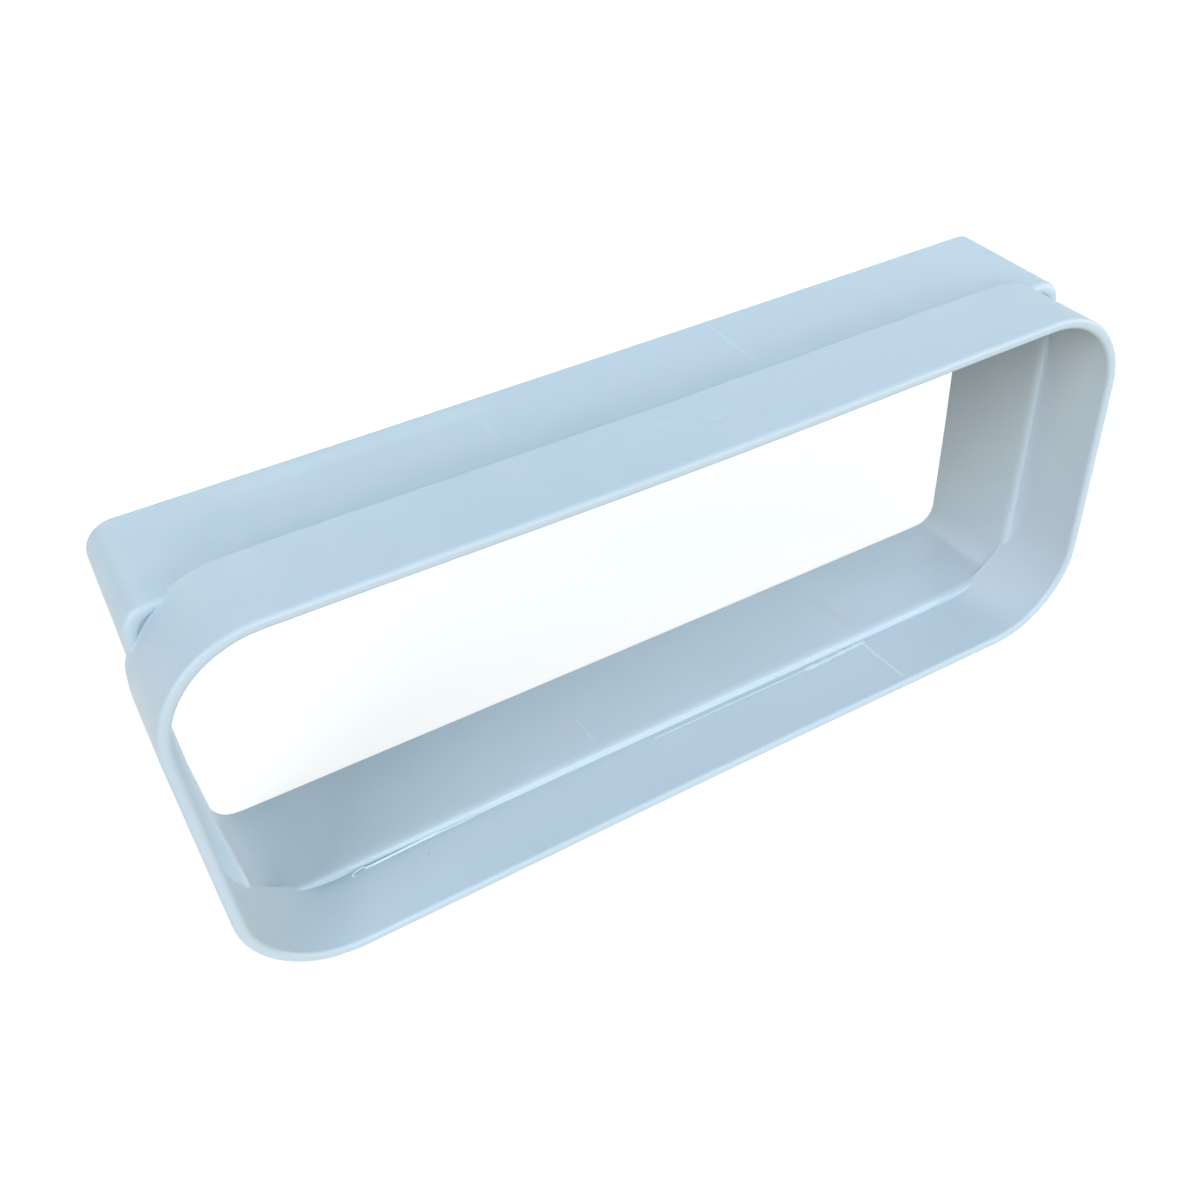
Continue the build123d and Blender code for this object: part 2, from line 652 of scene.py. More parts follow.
@dataclass(frozen=True)
class WallProfile:
    """Closed profile of the wall on every ray: distance out along the ray and station along the duct.

    The leans are those of the bore's short walls at the spigot's end, and the share at the ledge is in
    leans. A lean starts and ends at heights below the middle, in half heights. It fades on rays whose
    share of X lies between the two slants.
    """

    sizes: SleeveSizes
    rays: SectionRays
    row_pitch: float = 2.2 * MM
    arc_steps: int = 7
    nose_points: int = 10
    round_points: int = 12
    shoulder_steps: int = 22
    turn_share: float = 0.9 * MM
    sharp_bend: float = 0.4
    left_lean: float = 1.0 * MM
    right_lean: float = 0.4 * MM
    lean_at_ledge: float = 2.1
    lean_starts: tuple[float, float] = (-0.1, 0.2)
    lean_end: float = 0.85
    lean_slants: tuple[float, float] = (0.5, 0.8)

    def bands(self, marks: tuple[Mark, ...]) -> dict[Band, np.ndarray]:
        """All stretches of the profile, each without its last row, which the next one starts with.

        Args:
            marks: Marks whose stations are worked into the walls.

        Returns:
            For each band an array of 2 (distance, station) by rows by columns.
        """
        s = self.sizes
        socket_out = self.rays.reach(0.0, s.socket_corner, s)
        socket_in = socket_out - s.socket_wall
        spigot_out = self.rays.reach(s.spigot_inset, s.spigot_corner, s)
        bore_inset = s.spigot_inset + s.spigot_wall
        spigot_in = self.rays.reach(bore_inset, s.spigot_bore_corner, s)
        spigot_in = self.leaned(spigot_in, self.lean_at_ledge, self.lean_starts[0])
        end_corner = s.spigot_bore_corner + s.bore_opening
        spigot_end_in = self.rays.reach(bore_inset - s.bore_opening, end_corner, s)
        spigot_end_in = self.leaned(spigot_end_in, 1.0, self.lean_starts[1])
        rim_inside = s.front_y + s.rim_round
        end_inside = s.end_y - s.end_round
        rows = {
            Band.RIM_OUTER_ROUND: self.quarter(socket_out, -1.0, s.front_y, 1.0, s.rim_round)[:, ::-1],
            Band.SOCKET_OUTSIDE: self.wall(Band.SOCKET_OUTSIDE, socket_out, rim_inside, s.ledge_y, marks),
            Band.OUTER_STEP: self.outer_step(socket_out, spigot_out),
            Band.SPIGOT_OUTSIDE: self.wall(Band.SPIGOT_OUTSIDE, spigot_out, s.step_y, end_inside, marks),
            Band.END_OUTER_ROUND: self.quarter(spigot_out, -1.0, s.end_y, -1.0, s.end_round),
            Band.END_FACE: self.face(spigot_out - s.end_round, spigot_end_in + s.end_round, s.end_y),
            Band.END_INNER_ROUND: self.quarter(spigot_end_in, 1.0, s.end_y, -1.0, s.end_round)[:, ::-1],
            Band.SPIGOT_BORE: self.drafted(
                self.wall(Band.SPIGOT_BORE, spigot_end_in, end_inside, s.step_y, marks), spigot_in
            ),
            Band.LEDGE: self.ledge(spigot_in, socket_in),
            Band.SOCKET_BORE: self.wall(Band.SOCKET_BORE, socket_in, s.ledge_y, rim_inside, marks),
            Band.RIM_INNER_ROUND: self.quarter(socket_in, 1.0, s.front_y, 1.0, s.rim_round),
            Band.RIM_FACE: self.face(socket_in + s.rim_round, socket_out - s.rim_round, s.front_y),
        }
        return {band: stretch[:, :-1] for band, stretch in rows.items()}

    def leaned(self, wall: np.ndarray, share: float, start: float) -> np.ndarray:
        """Bore whose short walls stand in at the foot, by the lean times a smooth step down the wall.

        Args:
            wall: Distance of the bore on every ray.
            share: Share of the lean, 1 at the spigot's end.
            start: Where the step starts, in half heights below the middle.

        Returns:
            The distances less the lean, which on slanting rays grows as 1 / X and then fades.
        """
        slant = np.abs(self.rays.ray[:, 0])
        low = -2.0 * (self.rays.foot[:, 1] + wall * self.rays.ray[:, 1]) / self.sizes.height
        lean = np.where(self.rays.ray[:, 0] > 0.0, self.right_lean, self.left_lean)
        fade = smooth_step(*self.lean_slants, slant) / np.maximum(slant, self.lean_slants[0])
        return wall - share * lean * smooth_step(start, self.lean_end, low) * fade

    def quarter(
        self, wall: np.ndarray, inward: float, edge: float, back: float, radius: float
    ) -> np.ndarray:
        """Quarter round from a wall over to an end face, a circle's sine and cosine.

        Args:
            wall: Distance of the wall along each ray.
            inward: Sign of the way from the wall's surface into the material, along the ray.
            edge: Station of the end face.
            back: Sign of the way from the end face into the material, along the duct.
            radius: Radius of the round.

        Returns:
            Array of 2 by rows by columns, from the wall to the end face.
        """
        angle = np.linspace(0.0, math.pi / 2, self.arc_steps + 1)[:, None]
        distance = wall[None, :] + inward * radius * (1.0 - np.cos(angle))
        station = edge + back * radius * (1.0 - np.sin(angle)) + 0.0 * wall[None, :]
        return np.stack([distance, station])

    @staticmethod
    def face(start: np.ndarray, end: np.ndarray, station: float) -> np.ndarray:
        """Flat end face between two rounds.

        Args:
            start: Distance along each ray where the face starts.
            end: Distance along each ray where it ends.
            station: Station of the face.

        Returns:
            Array of 2 by two rows by columns.
        """
        distance = np.stack([start, end])
        return np.stack([distance, np.full_like(distance, station)])

    def wall(
        self, band: Band, wall: np.ndarray, start: float, end: float, marks: tuple[Mark, ...]
    ) -> np.ndarray:
        """Straight wall along the duct with even rows, and closer ones at its ends and at marks.

        Args:
            band: Wall that the rows belong to.
            wall: Distance of the wall along each ray.
            start: Station of the first row.
            end: Station of the last row.
            marks: Marks whose stations are worked in.

        Returns:
            Array of 2 by rows by columns.
        """
        low, high = min(start, end), max(start, end)
        hold = 0.25 * MM
        wanted = [mark.stations() + self.sizes.front_y for mark in marks if mark.band is band]
        extra = np.concatenate([np.array([low + hold, high - hold]), *wanted])
        stations = spread(low, high, self.row_pitch, extra)
        if end < start:
            stations = stations[::-1]
        station = stations[:, None] + 0.0 * wall[None, :]
        return np.stack([wall[None, :] + 0.0 * station, station])

    @staticmethod
    def drafted(wall: np.ndarray, last: np.ndarray) -> np.ndarray:
        """Wall that leans evenly from its own distance on the first row to another on the last row.

        Args:
            wall: Array of 2 by rows by columns with one distance for each column.
            last: Distance wanted on the last row along each ray.

        Returns:
            Array of 2 by rows by columns.
        """
        distance, station = wall
        share = (station - station[0]) / (station[-1] - station[0])
        return np.stack([distance + (last - distance) * share, station])

    def outer_step(self, socket: np.ndarray, spigot: np.ndarray) -> np.ndarray:
        """Way from the socket's outside to the spigot's: a round shoulder, or the nose of an ear.

        Args:
            socket: Distance of the socket's outside along each ray.
            spigot: Distance of the spigot's outside along each ray.

        Returns:
            Array of 2 by rows by columns, from the ledge's station to the step's.
        """
        s = self.sizes
        shoulder = self.shoulder(socket, spigot, s.ledge_y, s.step_y, s.step_round, s.step_round)
        nose = self.even_rows(self.ear(socket, spigot))
        return np.where(socket >= spigot, self.even_rows(shoulder), nose)

    def ear(self, socket: np.ndarray, spigot: np.ndarray) -> np.ndarray:
        """Outline of an ear: down the socket's side into the relief, and over the round nose.

        With u as the distance in from the spigot's outside, the nose is a circle's arc of the outer
        radius up to u = radius. Past the nose's top an arc as deep as the relief falls away again. The
        socket's side cuts both off at u = the ear's own size.

        Args:
            socket: Distance of the socket's outside along each ray.
            spigot: Distance of the spigot's outside along each ray.

        Returns:
            Array of 2 by points by columns.
        """
        s = self.sizes
        size = np.maximum(spigot - socket, 0.0)
        angle = np.linspace(0.0, math.pi / 2, self.nose_points)
        fall = (s.ear_nose - s.ear_relief + s.ear_relief * np.sin(angle))[::-1]
        rise = s.ear_round * (1.0 - np.sin(angle))
        inward = np.minimum(np.concatenate([fall, rise])[:, None], size[None, :])
        inward = np.vstack([size, inward])
        outer = s.ear_round - np.sqrt(s.ear_round**2 - np.maximum(s.ear_round - inward, 0.0) ** 2)
        past = np.clip(inward - (s.ear_nose - s.ear_relief), 0.0, s.ear_relief)
        inner = s.ear_relief - np.sqrt(s.ear_relief**2 - past**2)
        distance = np.vstack([spigot - size, spigot - inward, spigot])
        first = np.full_like(spigot, s.ledge_y)
        last = np.full_like(spigot, s.step_y)
        return np.stack([distance, np.vstack([first, s.ledge_y + outer + inner, last])])

    def ledge(self, spigot: np.ndarray, socket: np.ndarray) -> np.ndarray:
        """Way from the spigot's bore to the socket's: the ledge, or the lip of a corner pocket.

        Args:
            spigot: Distance of the spigot's bore along each ray.
            socket: Distance of the socket's bore along each ray.

        Returns:
            Array of 2 by rows by columns, from the step's station to the ledge's.
        """
        s = self.sizes
        ledge = self.shoulder(spigot, socket, s.step_y, s.ledge_y, s.ledge_round, s.ledge_drop)
        lip = self.shoulder(socket, spigot, s.ledge_y, s.step_y, s.lip_round, s.lip_round)[:, ::-1]
        return self.even_rows(np.where(spigot <= socket, ledge, lip))

    def shoulder(
        self, proud: np.ndarray, low: np.ndarray, start: float, edge: float, run: float, drop: float
    ) -> np.ndarray:
        """Outline along a proud wall, over its rounded edge and down to a lower wall.

        The round is a quarter of an ellipse. Where the walls are less apart than its drop, the lower
        wall cuts it short at the angle whose versed sine is their distance over the drop.

        Args:
            proud: Distance along each ray of the wall that stands out.
            low: Distance along each ray of the wall that it drops to.
            start: Station where the outline starts on the proud wall.
            edge: Station of the edge.
            run: Length of the round along the duct.
            drop: Depth of the round across the wall.

        Returns:
            Array of 2 by points by columns.
        """
        way = math.copysign(1.0, edge - start)
        fall = np.sign(low - proud)
        full = np.arccos(np.clip(1.0 - np.abs(proud - low) / drop, 0.0, 1.0))
        angle = full[None, :] * np.linspace(0.0, 1.0, self.round_points)[:, None]
        arc_distance = proud + fall * drop * (1.0 - np.cos(angle))
        arc_station = edge - way * run * (1.0 - np.sin(angle))
        distance = np.vstack([proud, arc_distance, low, low])
        first = np.full_like(proud, start)
        last = np.full_like(proud, edge)
        station = np.vstack([first, arc_station, arc_station[-1], last])
        return np.stack([distance, station])

    def even_rows(self, outline: np.ndarray) -> np.ndarray:
        """Points spaced evenly along each column's outline, where a turn counts as extra length.

        Args:
            outline: Array of 2 by points by columns.

        Returns:
            Array of 2 by rows by columns over the same outlines.
        """
        leap = np.diff(outline, axis=1)
        length = np.hypot(leap[0], leap[1])
        heading = np.arctan2(leap[1], leap[0])
        bend = np.abs(np.angle(np.exp(1j * np.diff(heading, axis=0))))
        bend = np.where((length[1:] > 0.0) & (length[:-1] > 0.0), bend, 0.0)
        soft = np.where(bend < self.sharp_bend, bend, 0.0)
        weight = length + self.turn_share * np.vstack([soft, soft[-1:]])
        weight = np.where(length > 0.0, weight, 0.0)
        travel = np.vstack([np.zeros_like(weight[:1]), np.cumsum(weight, axis=0)])
        wanted = np.linspace(0.0, 1.0, self.shoulder_steps + 1)[:, None] * travel[-1]
        before = (travel[None, :-1] <= wanted[:, None]).sum(axis=1) - 1
        columns = np.arange(outline.shape[2])[None, :]
        base = travel[before, columns]
        gap = travel[before + 1, columns] - base
        share = np.where(gap > 0.0, (wanted - base) / np.where(gap > 0.0, gap, 1.0), 1.0)
        near = outline[:, before, columns]
        far = outline[:, before + 1, columns]
        return near + (far - near) * np.clip(share, 0.0, 1.0)


@dataclass(frozen=True)
class MouldWarp:
    """Slight shape that a moulding takes on as it cools: bowed walls and gentle waves.

    A bow is how far the middle of a side stands in, and both tuples of bows are in the order of Side.
    The rim's bow fades evenly from the rim to the end. The end's bow is that of the spigot. On a long
    side it grows from the web to the end. On a short side it comes in over the ears, leaves out the
    socket's own wall, and fades towards the end.

    The flare makes the spigot's end taller on its right and lowers its top on the left. The crown lifts
    the two ends of the spigot's top and lowers its middle. The ears' edge is in half widths.
    """

    sizes: SleeveSizes
    rim_bows: tuple[float, ...] = (0.0, 1.05 * MM, 0.0, 0.58 * MM)
    end_bows: tuple[float, ...] = (0.1 * MM, 0.0, -1.25 * MM, -0.3 * MM)
    flare: float = 0.45 * MM
    crown: float = 0.35 * MM
    crown_level: float = 0.2
    ear_edge: tuple[float, float] = (0.984, 0.999)
    ear_margins: tuple[float, float] = (0.2 * MM, 1.5 * MM)
    ear_fade: float = 0.85
    wave: float = 0.02 * MM
    wave_length: float = 46.0 * MM
    wave_phase: float = 0.7

    def bow(self, side: Side, back: np.ndarray, on_spigot: np.ndarray) -> np.ndarray:
        """Bow of one side, from the rim's share and the spigot's share.

        Args:
            side: The side.
            back: Share of the way from the rim back to the end.
            on_spigot: Share of the spigot's bow.

        Returns:
            Distance by which the side's middle stands in.
        """
        return self.rim_bows[side.value] * (1.0 - back) + self.end_bows[side.value] * on_spigot

    def settle(self, points: np.ndarray) -> np.ndarray:
        """Points moved by a smooth field over the section, in shares of its half width and half height.

        Towards a long side the move is bow times (1 - across^2)^3 times up^2, and towards a short side
        bow times (1 - up^4) times across^8. The flare adds across times up, except at the lower left.
        The crown adds (across^2 - level) times up over the middle. A low product of sines brings the
        waves in.

        Args:
            points: Array whose last axis holds three coordinates.

        Returns:
            The moved points.
        """
        s = self.sizes
        across = np.clip(2.0 * points[..., 0] / s.width, -1.0, 1.0)
        up = np.clip(2.0 * (points[..., 2] - s.centre_z) / s.height, -1.0, 1.0)
        back = (points[..., 1] - s.front_y) / (s.end_y - s.front_y)
        inside = 1.0 - smooth_step(*self.ear_edge, np.abs(across))
        on_long = np.clip((points[..., 1] - s.step_y) / (s.end_y - s.step_y), 0.0, 1.0)
        before, behind = self.ear_margins
        on_ears = smooth_step(s.ledge_y - before, s.step_y + behind, points[..., 1])
        on_short = on_ears * inside * (1.0 - self.ear_fade * on_long)
        turn = 2.0 * math.pi / self.wave_length
        waves = np.sin(turn * points[..., 0] + self.wave_phase)
        waves *= np.sin(turn * (points[..., 1] + points[..., 2]))
        ripple = self.wave * (1.0 + waves)
        top, bottom = self.bow(Side.TOP, back, on_long), self.bow(Side.BOTTOM, back, on_long)
        right, left = self.bow(Side.RIGHT, back, on_short), self.bow(Side.LEFT, back, on_short)
        long_bow = np.where(up > 0.0, top, bottom)
        short_bow = np.where(across > 0.0, right, left)
        moved = points.copy()
        moved[..., 0] -= np.sign(across) * across**8 * (short_bow * (1.0 - up**4) + ripple)
        moved[..., 2] -= np.sign(up) * up**2 * (long_bow * (1.0 - across**2) ** 3 + ripple)
        flared = np.where(up > 0.0, across, np.maximum(across, 0.0))
        moved[..., 2] += self.flare * flared * up * on_long
        crowned = (across**2 - self.crown_level) * np.maximum(up, 0.0)
        moved[..., 2] += self.crown * crowned * on_long
        return moved


@dataclass(frozen=True)
class EffectGroups:
    """Shader groups that both plastics share, built once."""

    grain: bpy.types.NodeTree
    flow: bpy.types.NodeTree
    scuffs: bpy.types.NodeTree
    specks: bpy.types.NodeTree

    @classmethod
    def build(cls) -> EffectGroups:
        """All four groups."""
        return cls(cls.make_grain(), cls.make_flow(), cls.make_scuffs(), cls.make_specks())

    @staticmethod
    def start(name: str, inputs: dict[str, float], outputs: tuple[str, ...]) -> bpy.types.NodeTree:
        """Empty group with a place input, value inputs and value outputs.

        Args:
            name: Name of the group.
            inputs: Value inputs and their defaults.
            outputs: Names of the value outputs.

        Returns:
            The group with its input and output nodes.
        """
        group = bpy.data.node_groups.new(name, "ShaderNodeTree")
        group.interface.new_socket("Place", in_out="INPUT", socket_type="NodeSocketVector")
        for label, default in inputs.items():
            socket = group.interface.new_socket(label, in_out="INPUT", socket_type="NodeSocketFloat")
            socket.default_value = default
        for label in outputs:
            group.interface.new_socket(label, in_out="OUTPUT", socket_type="NodeSocketFloat")
        group.nodes.new("NodeGroupInput").name = "In"
        group.nodes.new("NodeGroupOutput").name = "Out"
        return group

    @staticmethod
    def noise(
        group: bpy.types.NodeTree, scale: float, detail: float, roughness: float
    ) -> bpy.types.Node:
        """Noise texture read at the group's place.

        Args:
            group: Group that holds the node.
            scale: Waves to the metre.
            detail: Number of finer layers.
            roughness: Strength of the finer layers.

        Returns:
            The noise node.
        """
        node = group.nodes.new("ShaderNodeTexNoise")
        node.inputs["Scale"].default_value = scale
        node.inputs["Detail"].default_value = detail
        node.inputs["Roughness"].default_value = roughness
        group.links.new(group.nodes["In"].outputs["Place"], node.inputs["Vector"])
        return node

    @staticmethod
    def ramp(
        group: bpy.types.NodeTree, source: bpy.types.NodeSocket, low: float, high: float
    ) -> bpy.types.Node:
        """Smooth ramp of a value from 0 at low to 1 at high.

        Args:
            group: Group that holds the node.
            source: Socket of the value.
            low: Value that becomes 0.
            high: Value that becomes 1.

        Returns:
            The range node.
        """
        node = group.nodes.new("ShaderNodeMapRange")
        node.interpolation_type = "SMOOTHSTEP"
        node.inputs["From Min"].default_value = low
        node.inputs["From Max"].default_value = high
        group.links.new(source, node.inputs["Value"])
        return node

    @staticmethod
    def times(
        group: bpy.types.NodeTree, first: bpy.types.NodeSocket, second: bpy.types.NodeSocket
    ) -> bpy.types.Node:
        """Product of two values.

        Args:
            group: Group that holds the node.
            first: Socket of one value.
            second: Socket of the other.

        Returns:
            The math node.
        """
        node = group.nodes.new("ShaderNodeMath")
        node.operation = "MULTIPLY"
        group.links.new(first, node.inputs[0])
        group.links.new(second, node.inputs[1])
        return node

    @classmethod
    def with_mask(cls, group: bpy.types.NodeTree, mask: bpy.types.NodeSocket) -> bpy.types.NodeTree:
        """Group whose output is a mask times its strength.

        Args:
            group: Group to end.
            mask: Socket of the mask.

        Returns:
            The same group.
        """
        scaled = cls.times(group, mask, group.nodes["In"].outputs["Strength"])
        group.links.new(scaled.outputs[0], group.nodes["Out"].inputs["Mask"])
        return group

    @classmethod
    def make_grain(cls) -> bpy.types.NodeTree:
        """Fine grain of the mould's steel: a height and a gloss that both change over the surface."""
        group = cls.start("mould_grain", {"Depth": 1.0}, ("Height", "Gloss"))
        fine = cls.noise(group, 2600.0, 2.0, 0.55)
        broad = cls.noise(group, 130.0, 3.0, 0.5)
        depth = group.nodes["In"].outputs["Depth"]
        height = cls.times(group, fine.outputs["Fac"], depth)
        group.links.new(height.outputs[0], group.nodes["Out"].inputs["Height"])
        gloss = cls.ramp(group, broad.outputs["Fac"], 0.25, 0.75)
        group.links.new(gloss.outputs["Result"], group.nodes["Out"].inputs["Gloss"])
        return group

    @classmethod
    def make_flow(cls) -> bpy.types.NodeTree:
        """Broad, faint clouds of tint left by the plastic as it flowed into the mould."""
        group = cls.start("flow_clouds", {"Strength": 1.0}, ("Mask",))
        clouds = cls.noise(group, 26.0, 3.0, 0.45)
        clouds.inputs["Distortion"].default_value = 0.8
        mask = cls.ramp(group, clouds.outputs["Fac"], 0.3, 0.7)
        return cls.with_mask(group, mask.outputs["Result"])

    @classmethod
    def make_scuffs(cls) -> bpy.types.NodeTree:
        """Faint drawn-out rubs along the duct, where the part slid out of the mould."""
        group = cls.start("drawn_scuffs", {"Strength": 1.0}, ("Mask",))
        stretch = group.nodes.new("ShaderNodeMapping")
        stretch.inputs["Scale"].default_value = (1.0, 0.08, 1.0)
        group.links.new(group.nodes["In"].outputs["Place"], stretch.inputs["Vector"])
        lines = cls.noise(group, 900.0, 2.0, 0.6)
        group.links.new(stretch.outputs["Vector"], lines.inputs["Vector"])
        patches = cls.noise(group, 38.0, 1.0, 0.5)
        thin = cls.ramp(group, lines.outputs["Fac"], 0.6, 0.78)
        where = cls.ramp(group, patches.outputs["Fac"], 0.5, 0.7)
        mask = cls.times(group, thin.outputs["Result"], where.outputs["Result"])
        return cls.with_mask(group, mask.outputs[0])

    @classmethod
    def make_specks(cls) -> bpy.types.NodeTree:
        """Few tiny dark specks, from cells of which only some hold one."""
        group = cls.start("stray_specks", {"Strength": 1.0}, ("Mask",))
        cells = group.nodes.new("ShaderNodeTexVoronoi")
        cells.inputs["Scale"].default_value = 75.0
        group.links.new(group.nodes["In"].outputs["Place"], cells.inputs["Vector"])
        dot = cls.ramp(group, cells.outputs["Distance"], 0.034, 0.018)
        pick = group.nodes.new("ShaderNodeSeparateColor")
        group.links.new(cells.outputs["Color"], pick.inputs["Color"])
        rare = cls.ramp(group, pick.outputs["Red"], 0.72, 0.8)
        mask = cls.times(group, dot.outputs["Result"], rare.outputs["Result"])
        return cls.with_mask(group, mask.outputs[0])


@dataclass(frozen=True)
class MouldedPlastic:
    """Satin plastic straight from the mould: pale, faintly clouded, with a fine grain.

    The softness is the roughness of its diffuse part, which evens out the light over the rounds. Two
    more tints lay painted highlight and painted shade over the marks, by the marks' tone attribute.
    """

    name: str
    tint: Colour
    cloud_tint: Colour
    scuff_tint: Colour
    speck_tint: Colour
    # Tints of the marks' painted highlight and painted shade.
    painted_highlight_tint: Colour
    painted_shade_tint: Colour
    roughness: tuple[float, float]
    grain_height: float
    cloud_strength: float
    scuff_strength: float
    speck_strength: float
    specular: float = 0.5
    softness: float = 0.4
    grain_strength: float = 0.5

    def build(self, groups: EffectGroups) -> bpy.types.Material:
        """Material with the shared groups placed in it.

        Args:
            groups: Shader groups of the plastics.

        Returns:
            The material.
        """
        material = bpy.data.materials.new(self.name)
        material.use_nodes = True
        tree = material.node_tree
        shader = tree.nodes["Principled BSDF"]
        shader.inputs["Specular IOR Level"].default_value = self.specular
        shader.inputs["Diffuse Roughness"].default_value = self.softness
        place = tree.nodes.new("ShaderNodeTexCoord").outputs["Object"]
        flow = self.effect(tree, groups.flow, place, "Strength", self.cloud_strength)
        scuffs = self.effect(tree, groups.scuffs, place, "Strength", self.scuff_strength)
        specks = self.effect(tree, groups.specks, place, "Strength", self.speck_strength)
        grain = self.effect(tree, groups.grain, place, "Depth", 1.0)
        clouded = self.mix(tree, flow.outputs["Mask"], self.tint, self.cloud_tint)
        scuffed = self.mix(tree, scuffs.outputs["Mask"], clouded, self.scuff_tint)
        specked = self.mix(tree, specks.outputs["Mask"], scuffed, self.speck_tint)
        # Painted highlight and painted shade over the marks, from the marks' tone attribute.
        tone = tree.nodes.new("ShaderNodeAttribute")
        tone.attribute_name = PAINTED_LIGHT_LAYER
        painted_highlight_mix = self.mix(tree, self.part(tree, tone.outputs["Fac"], 1.0), specked, self.painted_highlight_tint)
        painted_shade_mix = self.mix(tree, self.part(tree, tone.outputs["Fac"], -1.0), painted_highlight_mix, self.painted_shade_tint)
        tree.links.new(painted_shade_mix, shader.inputs["Base Color"])
        gloss = tree.nodes.new("ShaderNodeMapRange")
        gloss.inputs["To Min"].default_value = self.roughness[0]
        gloss.inputs["To Max"].default_value = self.roughness[1]
        tree.links.new(grain.outputs["Gloss"], gloss.inputs["Value"])
        tree.links.new(gloss.outputs["Result"], shader.inputs["Roughness"])
        bump = tree.nodes.new("ShaderNodeBump")
        bump.inputs["Distance"].default_value = self.grain_height
        bump.inputs["Strength"].default_value = self.grain_strength
        tree.links.new(grain.outputs["Height"], bump.inputs["Height"])
        tree.links.new(bump.outputs["Normal"], shader.inputs["Normal"])
        return material

    @staticmethod
    def effect(
        tree: bpy.types.NodeTree,
        group: bpy.types.NodeTree,
        place: bpy.types.NodeSocket,
        label: str,
        value: float,
    ) -> bpy.types.Node:
        """One shared group placed in a material, with its own value.

        Args:
            tree: Node tree of the material.
            group: Group to place.
            place: Socket of the place that the group reads.
            label: Name of the group's value input.
            value: Value for that input.

        Returns:
            The group node.
        """
        node = tree.nodes.new("ShaderNodeGroup")
        node.node_tree = group
        node.inputs[label].default_value = value
        tree.links.new(place, node.inputs["Place"])
        return node

    @staticmethod
    def part(tree: bpy.types.NodeTree, tone: bpy.types.NodeSocket, sign: float) -> bpy.types.NodeSocket:
        """Share of the painted tone that lies on one side of 0.

        Args:
            tree: Node tree of the material.
            tone: Socket of the tone.
            sign: 1 for the painted highlight, -1 for the painted shade.

        Returns:
            Socket of a mask from 0 to 1.
        """
        node = tree.nodes.new("ShaderNodeMapRange")
        node.inputs["From Max"].default_value = sign
        tree.links.new(tone, node.inputs["Value"])
        return node.outputs["Result"]

    @staticmethod
    def mix(
        tree: bpy.types.NodeTree,
        share: bpy.types.NodeSocket,
        base: bpy.types.NodeSocket | Colour,
        over: Colour,
    ) -> bpy.types.NodeSocket:
        """Colour laid over another by a mask.

        Args:
            tree: Node tree of the material.
            share: Socket of the mask.
            base: Socket or value of the colour below.
            over: Colour on top.

        Returns:
            Socket of the mixed colour.
        """
        node = tree.nodes.new("ShaderNodeMix")
        node.data_type = "RGBA"
        below, above = (node.inputs[6], node.inputs[7])
        tree.links.new(share, node.inputs[0])
        if isinstance(base, tuple):
            below.default_value = (*base, 1.0)
        else:
            tree.links.new(base, below)
        above.default_value = (*over, 1.0)
        return node.outputs[2]


SLEEVE_PLASTIC = MouldedPlastic(
    name="satin_plastic",
    tint=(0.525, 0.64, 0.735),
    cloud_tint=(0.54, 0.645, 0.75),
    scuff_tint=(0.58, 0.69, 0.77),
    speck_tint=(0.17, 0.2, 0.22),
    # Tints of the marks' painted highlight and painted shade.
    painted_highlight_tint=(0.74, 0.87, 0.95),
    painted_shade_tint=(0.4, 0.48, 0.55),
    roughness=(0.36, 0.46),
    grain_height=0.012 * MM,
    cloud_strength=0.8,
    scuff_strength=0.3,
    speck_strength=0.3,
)

# Lighter copy of the sleeve's plastic: a painted highlight that makes the thin flash show as bright lines.
FLASH_PLASTIC = replace(
    SLEEVE_PLASTIC,
    name="flash_painted_highlight",
    tint=(0.68, 0.8, 0.88),
    cloud_tint=(0.7, 0.81, 0.9),
    scuff_tint=(0.73, 0.84, 0.92),
    roughness=(0.3, 0.4),
    grain_height=0.006 * MM,
    cloud_strength=0.6,
    scuff_strength=0.2,
    speck_strength=0.0,
)

# Each mark's tone is painted: a highlight where the mark stands up, a shade where it sinks.
MARKS: tuple[Mark, ...] = (
    WitnessLine(Band.SPIGOT_OUTSIDE, Side.TOP, 0.08 * MM, 0.3, 30 * MM, 27 * MM, 47 * MM),
    WitnessLine(Band.SPIGOT_OUTSIDE, Side.TOP, 0.05 * MM, 0.16, -30.2 * MM, 31 * MM, 40 * MM),
    WitnessLine(
        Band.SOCKET_BORE, Side.BOTTOM, 0.1 * MM, 0.62, 60 * MM, 0.8 * MM, 18.2 * MM, 0.3 * MM, -0.9 * MM
    ),
    WitnessLine(Band.SPIGOT_BORE, Side.BOTTOM, 0.06 * MM, 0.26, -19.9 * MM, 21.6 * MM, 33 * MM),
    WitnessLine(
        Band.SPIGOT_BORE, Side.BOTTOM, -0.03 * MM, -0.16, 59.8 * MM, 21.6 * MM, 42 * MM, 1.3 * MM, -3 * MM
    ),
    PartingStep(Band.SPIGOT_OUTSIDE, Side.TOP, 0.05 * MM, 0.14, 43.3 * MM, -90 * MM, -20 * MM),
    GateMark(
        band=Band.SOCKET_OUTSIDE,
        side=Side.TOP,
        at=9.2 * MM,
        depth_at=9.8 * MM,
        half_length=4.2 * MM,
        sag=1.7 * MM,
        dip=0.05 * MM,
        lip=0.05 * MM,
        tone=0.17,
    ),
)

NICKS: tuple[Nick, ...] = (
    Nick(RIM_BANDS, (-94.7 * MM, -45.9 * MM), 0.8 * MM, 0.3 * MM),
    Nick((Band.LEDGE,), (110 * MM, -27.6 * MM), 0.4 * MM, 0.25 * MM),
)


